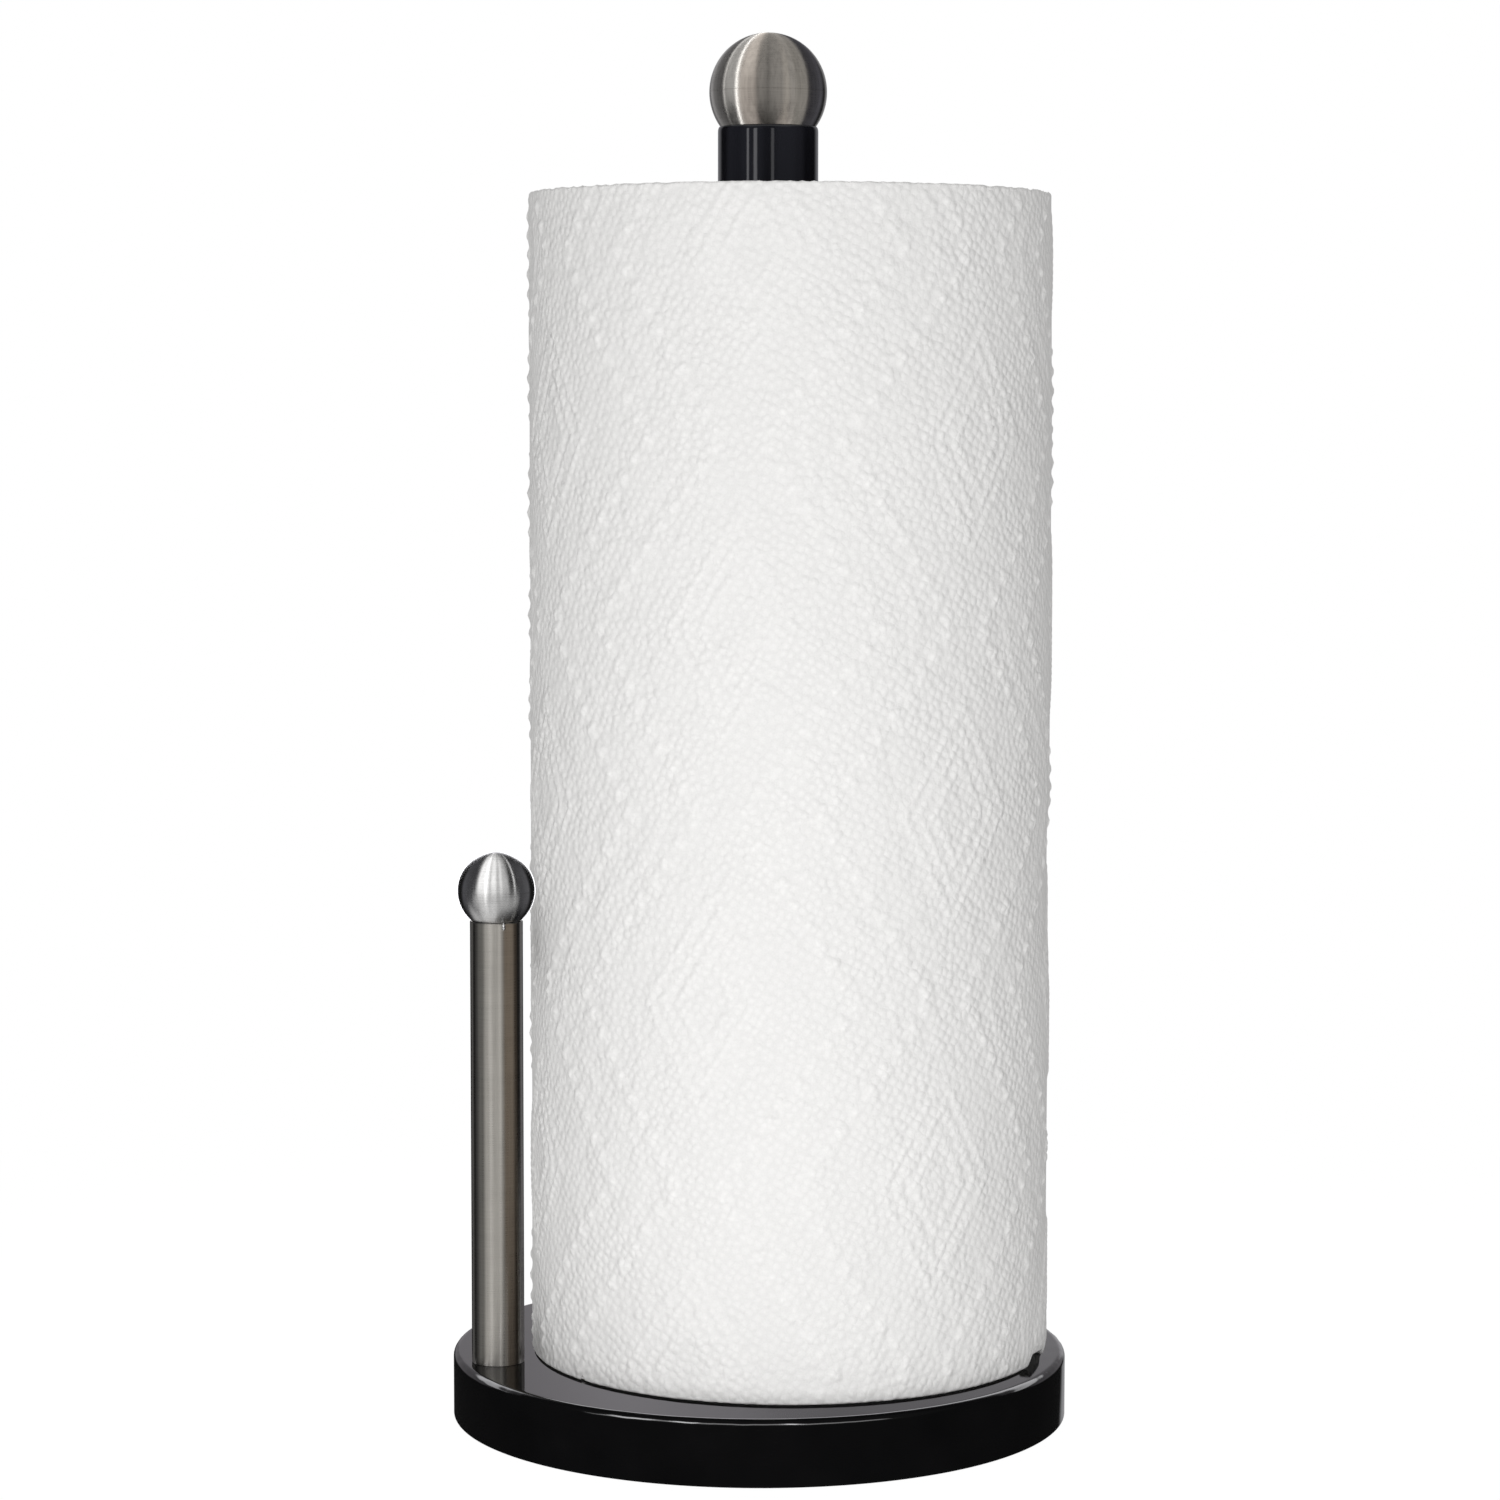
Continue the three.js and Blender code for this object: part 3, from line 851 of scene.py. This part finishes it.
def make_sheet(name, start, length, columns, rows, tail):
    """A stretch of the last turn, from one angle round to the left.

    tail is 1 where that angle is the free edge, and 0 at a perforation.
    """
    back = (np.arange(columns + 1) / columns)[:, None]
    along = start * SHEET_FACE - back * length + np.zeros(rows + 1)
    up = sheet_rows(rows)[None, :] + np.zeros((columns + 1, 1))
    height = wound.low + up
    front_angle = along / SHEET_FACE
    relief = embossing(along, up) + CREASE_HEIGHT * creases(along, up)
    lift = tail * tail_lift(back * length, height)
    radius = sheet_radius(relief, up, height) + slack(front_angle, height) + lift
    height = height + uneven_edges(front_angle, up)
    angle = front_angle - math.pi / 2
    outside = np.stack([radius * np.cos(angle), radius * np.sin(angle), height], -1)
    ends = (0, -1)
    back_radius = (SHEET_BACK + lift)[:, ends]
    back_angle = angle[:, ends]
    back_x = back_radius * np.cos(back_angle)
    back_y = back_radius * np.sin(back_angle)
    inside = np.stack([back_x, back_y, height[:, ends]], -1)
    vertices = np.concatenate([outside.reshape(-1, 3), inside.reshape(-1, 3)])
    grid = np.arange((columns + 1) * (rows + 1)).reshape(columns + 1, rows + 1)
    hidden = grid.size + np.arange((columns + 1) * 2).reshape(columns + 1, 2)
    face = np.stack([grid[1:, :-1], grid[:-1, :-1], grid[:-1, 1:], grid[1:, 1:]], -1).reshape(-1, 4)
    behind = np.stack([hidden[:-1, 0], hidden[1:, 0], hidden[1:, 1], hidden[:-1, 1]], -1)
    foot = np.stack([hidden[1:, 0], hidden[:-1, 0], grid[:-1, 0], grid[1:, 0]], -1)
    head = np.stack([grid[1:, -1], grid[:-1, -1], hidden[:-1, 1], hidden[1:, 1]], -1)
    faces = np.concatenate([face, behind, foot, head]).tolist()
    faces.append([hidden[0, 1], hidden[0, 0], *grid[0]][::-1])
    faces.append([hidden[-1, 1], hidden[-1, 0], *grid[-1]])
    faces = [[int(corner) for corner in corners] for corners in faces]
    at = (wound.x, wound.y)
    made = piece(name, vertices.tolist(), faces, "paper", "towel_paper", at, sharp=60)
    flat = np.zeros((len(vertices), 3), np.float32)
    flat[: grid.size, 0] = along.reshape(-1)
    flat[: grid.size, 1] = up.reshape(-1)
    flat[grid.size :, 0] = along[:, ends].reshape(-1)
    flat[grid.size :, 1] = up[:, ends].reshape(-1)
    place = made.data.attributes.new("flat_place", "FLOAT_VECTOR", "POINT")
    place.data.foreach_set("vector", flat.reshape(-1))
    # The relief also goes to the material as an attribute, and the material paints shade with it:
    # raised parts lighter, grooves darker.
    raised = np.zeros(len(vertices), np.float32)
    raised[: grid.size] = relief.reshape(-1)
    made.data.attributes.new("relief", "FLOAT", "POINT").data.foreach_set("value", raised)
    return made


def make_lower_edge():
    """The lower edge of the turn under the last one, which stays in its shade."""
    outer = SHEET_BACK - 0.05 * MM
    inner = outer - 2.5 * MM
    low = wound.low + 0.08 * MM
    high = low + 0.45 * MM
    bevel = 0.1 * MM
    bevel_width = 0.3 * MM
    profile = [
        (inner, low + bevel),
        (outer - bevel_width, low),
        (outer, low + bevel),
        (outer, high),
        (inner, high),
    ]
    cut = ripple(seed=61, waves=10, most=60)
    cut_depth = 0.04 * MM

    def uneven(angle, index, radius, height):
        torn = float(notch(np.array(angle + math.pi / 2)))
        return radius, height + torn + cut_depth * abs(float(cut(angle)))

    vertices, faces = turn(profile, segments=240, shape=uneven)
    at = (wound.x, wound.y)
    piece("lower_edge", vertices, faces, "paper", "wound_paper", at, sharp=60)


def make_roll():
    perforation_gap = 0.25 * MM
    both_gaps = 1.5 * MM  # at the perforation and at the free edge
    make_core()
    layers = make_wound_paper()
    make_lower_edge()
    last = make_sheet("towel_last_sheet", TAIL_ANGLE, SHEET_LENGTH, 316, 310, 1)
    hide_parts("last_sheet")
    perforation = TAIL_ANGLE - (SHEET_LENGTH + perforation_gap) / SHEET_FACE
    rest_of_turn = TURN * SHEET_FACE - SHEET_LENGTH - both_gaps
    before = make_sheet("towel_sheet_before", perforation, rest_of_turn, 124, 300, 0)


# ---- Stage: floor, light and camera ----

def make_floor():
    """A pale floor that turns to plain white away from the object."""
    size = 40
    tinted_to = 0.08
    white_from = 0.42
    mesh = bpy.data.meshes.new("floor")
    corners = [(-size, -size, 0), (size, -size, 0), (size, size, 0), (-size, size, 0)]
    mesh.from_pydata(corners, [], [(0, 1, 2, 3)])
    floor = bpy.data.objects.new("floor", mesh)
    bpy.context.scene.collection.objects.link(floor)
    material = bpy.data.materials.new("floor")
    material.use_nodes = True
    tree = material.node_tree
    tree.nodes.clear()
    here = node_in(tree, "NewGeometry").outputs["Position"]
    away = node_in(tree, "VectorMath", {0: here}, operation="LENGTH").outputs["Value"]
    span = {"Value": away, "From Min": tinted_to, "From Max": white_from}
    to_white = node_in(tree, "MapRange", span, interpolation_type="SMOOTHSTEP")
    paint = node_in(tree, "BsdfDiffuse", {"Color": (0.03, 0.03, 0.03, 1)})
    glow = node_in(tree, "Emission", {"Color": (0.99, 0.99, 0.99, 1)})
    white = node_in(tree, "Emission")
    lit = node_in(tree, "AddShader", {0: paint.outputs[0], 1: glow.outputs[0]})
    shaders = {0: to_white.outputs["Result"], 1: lit.outputs[0], 2: white.outputs[0]}
    mix = node_in(tree, "MixShader", shaders)
    node_in(tree, "OutputMaterial", {"Surface": mix.outputs[0]})
    mesh.materials.append(material)
    floor.visible_glossy = False
    floor.visible_diffuse = False
    floor.visible_shadow = False


# The soft lights below are each reflected by their own pieces only.
# A sky light is (degrees from the front to the right, half its width, degrees up, half its height,
# softness of its edge, colour).
POST_SKY = [
    (-60, 45, 0, 45, 24, (0.095, 0.1, 0.125)),
    (0, 60, 0, 45, 24, (0.05, 0.055, 0.065)),
    (-47.5, 2.6, -2, 16, 2.4, (1.7, 1.7, 1.75)),
    (-29.5, 4, -2, 16, 3, (1.6, 1.6, 1.65)),
    (10, 3.4, -2, 16, 2.4, (0.8, 0.8, 0.82)),
    (52, 34, 0, 45, 24, (0.1, 0.102, 0.125)),
    (0, 50, 90, 50, 20, (0.5, 0.5, 0.5)),
    (180, 40, 0, 50, 20, (0.3, 0.3, 0.32)),
]
ARM_SKY = [
    (-10.5, 40, -12, 44, 24, (0.51, 0.505, 0.49)),
    (-25, 8, -12, 44, 12, (0.2, 0.2, 0.2)),
    (17, 5, -12, 44, 7, (0.16, 0.16, 0.155)),
    (-66, 18, -12, 44, 22, (0.16, 0.16, 0.155)),
    (-92, 12, -12, 44, 16, (0.06, 0.06, 0.06)),
    (60, 24, -12, 44, 18, (0.22, 0.185, 0.15)),
    (95, 8, -12, 44, 12, (0.05, 0.04, 0.03)),
    (142, 14, -8, 34, 12, (0.15, 0.15, 0.155)),
    (-134, 10, -8, 34, 10, (0.1, 0.1, 0.1)),
]
ARM_BALL_SKY = [
    (183, 18, 5, 22, 8, (2.4, 2.4, 2.5)),
]
FINIAL_SKY = [
    (176, 24, 6, 14, 12, (0.25, 0.25, 0.26)),
]
BASE_SKY = [
    (180, 60, 26, 28, 10, (0.25, 0.24, 0.255)),
    (187, 5, 26, 28, 3, (0.1, 0.095, 0.1)),
    (181.2, 1.6, 26, 28, 2.4, (0.15, 0.145, 0.155)),
    (180, 60, 36, 8, 6, (2, 2, 2.05)),
    (-8, 52, 30, 8, 8, (3, 3, 3)),
    (-51, 7, 30, 8, 8, (7, 7, 7.2)),
    (-29, 4, 30, 8, 5, (8, 8, 8.2)),
    (13, 3, 30, 8, 4, (8, 8, 8.2)),
    (0, 60, 45, 40, 20, (0.03, 0.03, 0.03)),
    (168, 10, -12, 25, 6, (0.3, 0.3, 0.31)),
]
OTHER_SKY = [
    (0, 60, 90, 60, 20, (0.6, 0.6, 0.6)),
    (-40, 40, 10, 40, 20, (0.7, 0.7, 0.7)),
    (150, 40, 10, 40, 20, (0.4, 0.4, 0.4)),
    (0, 50, -90, 50, 20, (0.5, 0.5, 0.5)),
]
# A ball's streak is (degrees round the ball to the right, half its width, softness, its lower and
# upper latitude, colour): the lights for it hang where the ball mirrors them along that streak.
FINIAL_STREAKS = [
    (-32.7, 1, 1.8, -62, 84, (2.8, 2.8, 2.8)),
    (-40, 6, 4, -14, 80, (0.46, 0.46, 0.46)),
    (-48.5, 1.2, 1.4, -20, 66, (1, 1, 1)),
    (-21.5, 9.5, 4, -42, 80, (0.44, 0.405, 0.38)),
    (-20, 7, 6, 14, 80, (0.36, 0.34, 0.32)),
    (-6, 5, 4, -18, 80, (0.27, 0.26, 0.25)),
    (13.5, 13, 6, -22, 80, (0.3, 0.29, 0.28)),
    (18.5, 3, 3, -42, 40, (0.1, 0.09, 0.075)),
    (34, 8.5, 4, -48, 70, (0.28, 0.27, 0.255)),
    (19, 9, 6, -62, -32, (0.6, 0.55, 0.52)),
    (-15, 10, 6, -64, -38, (0.36, 0.31, 0.3)),
    (0, 32, 8, -74, -54, (0.75, 0.64, 0.6)),
    (-64, 12, 8, -60, 70, (0.16, 0.16, 0.165)),
    (55, 12, 8, -60, 70, (0.05, 0.05, 0.06)),
]
ARM_BALL_STREAKS = [
    (-6, 25, 5, 0, 66, (0.6, 0.6, 0.6)),
    (-20, 9, 3, 0, 66, (0.6, 0.6, 0.6)),
    (-16, 1.5, 1.5, -10, 66, (0.9, 0.9, 0.9)),
    (-4, 4, 3, 0, 66, (0.55, 0.55, 0.55)),
    (7, 2, 3, 0, 60, (0.4, 0.4, 0.4)),
    (29, 1, 1.2, 6, 66, (1.2, 1.2, 1.2)),
    (-1, 46, 8, -30, -4, (0.44, 0.44, 0.44)),
    (-12, 14, 8, -56, -14, (0.3, 0.3, 0.3)),
    (-24, 26, 8, -62, -32, (0.5, 0.5, 0.5)),
    (-46, 14, 8, -30, 60, (0.05, 0.05, 0.055)),
    (46, 12, 8, -30, 50, (0.07, 0.07, 0.075)),
]
LIGHT_REACH = 6  # metres from a light to what it lights
STREAK_STEP = 18  # degrees of latitude for each light of a streak
STREAK_OVERLAP = 7
WIDEST = 1.2  # radians that half a streak's light may span


def make_world(matt_level, glossy_level):
    """White to the camera, an even grey to matt surfaces and almost black to glossy ones."""
    world = bpy.data.worlds.new("studio")
    bpy.context.scene.world = world
    world.use_nodes = True
    world.cycles.sampling_method = "NONE"
    tree = world.node_tree
    tree.nodes.clear()
    ray = node_in(tree, "LightPath").outputs
    level = glossy_level
    for seen, strength in (("Is Diffuse Ray", matt_level), ("Is Camera Ray", 1)):
        choose = node_in(tree, "Mix", {"Factor": ray[seen], 2: level, 3: strength})
        level = choose.outputs[0]
    light = node_in(tree, "Background", {"Color": (1, 1, 1, 1), "Strength": level})
    node_in(tree, "OutputWorld", {"Surface": light.outputs[0]})


def fade(off, half, soft):
    """1 up to about half, falling smoothly to 0 over soft."""
    return smooth_step(np.clip((half + soft / 2 - off) / soft, 0, 1))


def aimed(around, up, distance, target):
    """A place for a light: out from the target, at degrees round from the front and up."""
    return (
        Matrix.Translation(target)
        @ Matrix.Rotation(math.radians(around), 4, "Z")
        @ Matrix.Rotation(math.radians(90 - up), 4, "X")
        @ Matrix.Translation((0, 0, distance))
    )


def area_light(name, place, width, height, radiance, soft=(0, 0)):
    """A flat light of a given radiance whose edges fade over shares of its half size."""
    light = bpy.data.lights.new(name, "AREA")
    light.shape = "RECTANGLE"
    light.size = width
    light.size_y = height
    light.energy = 4 * width * height  # for a radiance of 1
    light.use_nodes = True
    tree = light.node_tree
    tree.nodes.clear()
    across = node_in(tree, "NewGeometry").outputs["Parametric"]
    axes = node_in(tree, "SeparateXYZ", {"Vector": across}).outputs
    strength = 1.0
    for axis, share in zip(axes, soft):
        centred = node_in(tree, "Math", {0: axis, 1: 0.5}, operation="SUBTRACT")
        off = node_in(tree, "Math", {0: centred.outputs[0]}, operation="ABSOLUTE")
        span = {"Value": off.outputs[0], "From Min": 0.5 * (1 - share), "From Max": 0.5}
        span.update({"To Min": 1.0, "To Max": 0.0})
        edge = node_in(tree, "MapRange", span, interpolation_type="SMOOTHSTEP")
        levels = {0: edge.outputs["Result"], 1: strength}
        strength = node_in(tree, "Math", levels, operation="MULTIPLY").outputs[0]
    shine = node_in(tree, "Emission", {"Color": (*radiance, 1), "Strength": strength})
    node_in(tree, "OutputLight", {"Surface": shine.outputs[0]})
    lamp = bpy.data.objects.new(name, light)
    bpy.context.scene.collection.objects.link(lamp)
    lamp.matrix_world = place
    lamp.visible_camera = False
    return lamp


def sky_light(name, target, around, half_width, up, half_height, soft, radiance):
    """A flat light that covers these degrees of the sky as its target sees it."""
    halves = (half_width, half_height)
    sides = [2 * LIGHT_REACH * math.tan(math.radians(half + soft / 2)) for half in halves]
    inner = [2 * LIGHT_REACH * math.tan(math.radians(half - soft / 2)) for half in halves]
    shares = [1 - clear / side for clear, side in zip(inner, sides)]
    return area_light(name, aimed(around, up, LIGHT_REACH, target), *sides, radiance, shares)


def mirrored(around, latitude, to_camera):
    """Where a ball's surface at these degrees sends the camera's line of sight."""
    flat = to_camera.copy()
    flat.z = 0
    level = flat.normalized() @ Matrix.Rotation(math.radians(-around), 3, "Z")
    tilt = math.radians(latitude)
    normal = level * math.cos(tilt) + Vector((0, 0, math.sin(tilt)))
    return 2 * normal.dot(to_camera) * normal - to_camera


def streak_lights(name, target, around, half_width, soft, low, high, radiance):
    """A row of lights that a ball mirrors as one upright streak from its low to its high latitude."""
    to_camera = (bpy.context.scene.camera.matrix_world.translation - target).normalized()
    count = max(1, round((high - low) / STREAK_STEP))
    step = (high - low) / count
    half_span = (step + STREAK_OVERLAP) / 2
    half_reach = half_width + soft / 2
    shares = (min(1, soft / half_reach), STREAK_OVERLAP / half_span)
    made = []

    def sent(around, latitude):
        return mirrored(around, latitude, to_camera)

    def side(turned, half_span):
        return 2 * LIGHT_REACH * math.tan(min(WIDEST, turned.length * half_span))

    for number in range(count):
        latitude = low + step * (number + 0.5)
        facing = sent(around, latitude)
        upright = (sent(around, latitude + 1) - sent(around, latitude - 1)) / 2
        sideways = (sent(around + 1, latitude) - sent(around - 1, latitude)) / 2
        width = side(sideways, half_reach)
        height = side(upright, half_span)
        across = upright.cross(facing).normalized()
        upright = facing.cross(across)
        turned = Matrix((across, upright, facing)).transposed().to_4x4()
        place = Matrix.Translation(target + facing * LIGHT_REACH) @ turned
        made.append(area_light(f"{name}_{number}", place, width, height, radiance, shares))
    return made


def reflected_lights(name, pieces, target, sky, streaks=()):
    """Soft lights round a target that only these pieces reflect."""
    receivers = bpy.data.collections.new(name)
    for each in pieces:
        receivers.objects.link(each)
    lamps = []
    for number, row in enumerate(sky):
        lamps.append(sky_light(f"{name}_sky_{number}", target, *row))
    for number, row in enumerate(streaks):
        lamps += streak_lights(f"{name}_streak_{number}", target, *row)
    for lamp in lamps:
        lamp.data.use_shadow = False
        lamp.visible_diffuse = False
        lamp.light_linking.receiver_collection = receivers


def make_camera():
    """A long lens in front, above the roll's middle and looking slightly down."""
    distance = 984.8 * MM
    eye = (-2.42 * MM, -distance, 247.8 * MM)
    down = 4.968  # degrees
    rolled = 0.06
    camera = bpy.data.objects.new("camera", bpy.data.cameras.new("camera"))
    bpy.context.scene.collection.objects.link(camera)
    camera.data.sensor_width = 36
    camera.data.lens = 98.085
    camera.data.clip_end = 100
    camera.matrix_world = (
        Matrix.Translation(eye)
        @ Matrix.Rotation(math.radians(90 - down), 4, "X")
        @ Matrix.Rotation(math.radians(rolled), 4, "Z")
    )
    bpy.context.scene.camera = camera


def make_key_light():
    """The key light in front and the fill light behind. Glossy pieces don't mirror them."""
    middle = (wound.x, wound.y, (cover.low + finial_top.high) / 2)
    key_place = aimed(around=-6, up=-10, distance=0.8, target=middle)
    fill_place = aimed(around=180, up=35, distance=1.5, target=middle)
    soft = (0.3, 0.3)
    key = area_light("key_light", key_place, 0.5, 0.5, (4.55, 4.55, 4.55), soft)
    fill = area_light("fill_light", fill_place, 1, 1, (2.2, 2.2, 2.25), soft)
    for lamp in (key, fill):
        lamp.visible_glossy = False


def make_reflected_lights():
    """The lights that each metal or gloss piece reflects, and what stays out of reflections."""
    finial_middle = finial_top.high - finial_top.radius
    ball_middle = arm_ball_top.high - arm_ball_top.radius
    arm_middle = (arm.low + arm.high) / 2
    finial = ("finial_upper", "finial_lower")
    arm_ball = ("arm_ball_upper", "arm_ball_lower", "weld_bead")
    groups = [
        ("finial", finial, post, finial_middle, FINIAL_SKY, FINIAL_STREAKS),
        ("post", ("enamel_post",), post, post.high, POST_SKY, ()),
        ("arm", ("steel_arm",), arm, arm_middle, ARM_SKY, ()),
        ("arm_ball", arm_ball, arm, ball_middle, ARM_BALL_SKY, ARM_BALL_STREAKS),
        ("base", ("gloss_cover",), cover, cover.high, BASE_SKY, ()),
    ]
    matt = ("wound_layers", "towel_last_sheet", "towel_sheet_before")
    used = set(matt)
    for name, pieces, turned, middle, sky, streaks in groups:
        things = [bpy.data.objects[each] for each in pieces]
        reflected_lights(name, things, Vector((turned.x, turned.y, middle)), sky, streaks)
        used.update(pieces)
    others = [each for each in made_pieces if each.name not in used]
    others += [frame["nodes"][row["node"]] for row in frame["record"]["subparts"]]
    reflected_lights("other", others, Vector((post.x, post.y, cover.high)), OTHER_SKY)
    for name in ("enamel_post", "card_core", *matt):
        bpy.data.objects[name].visible_glossy = False
    for name in ("steel_arm", *arm_ball):
        bpy.data.objects[name].visible_diffuse = False
        bpy.data.objects[name].visible_shadow = False


# ---- Everything ----

make_camera()
make_floor()
make_world(matt_level=0.51, glossy_level=0.013)
make_key_light()
bpy.context.scene.view_settings.view_transform = "Standard"

dress_nodes()
make_cover()
make_tube("enamel_post", "post_tube", "black_enamel", POST_WALL, POST_RIM, segments=120)
make_tube("steel_arm", "arm_tube", "brushed_steel", ARM_WALL, ARM_RIM, segments=96)
make_ball("finial", "finial_stud", "brushed_steel", FINIAL_WALL, segments=160)
make_ball("arm_ball", "arm_ball_stud", "polished_steel", ARM_BALL_WALL, segments=128)
make_weld_bead()
make_roll()
make_reflected_lights()
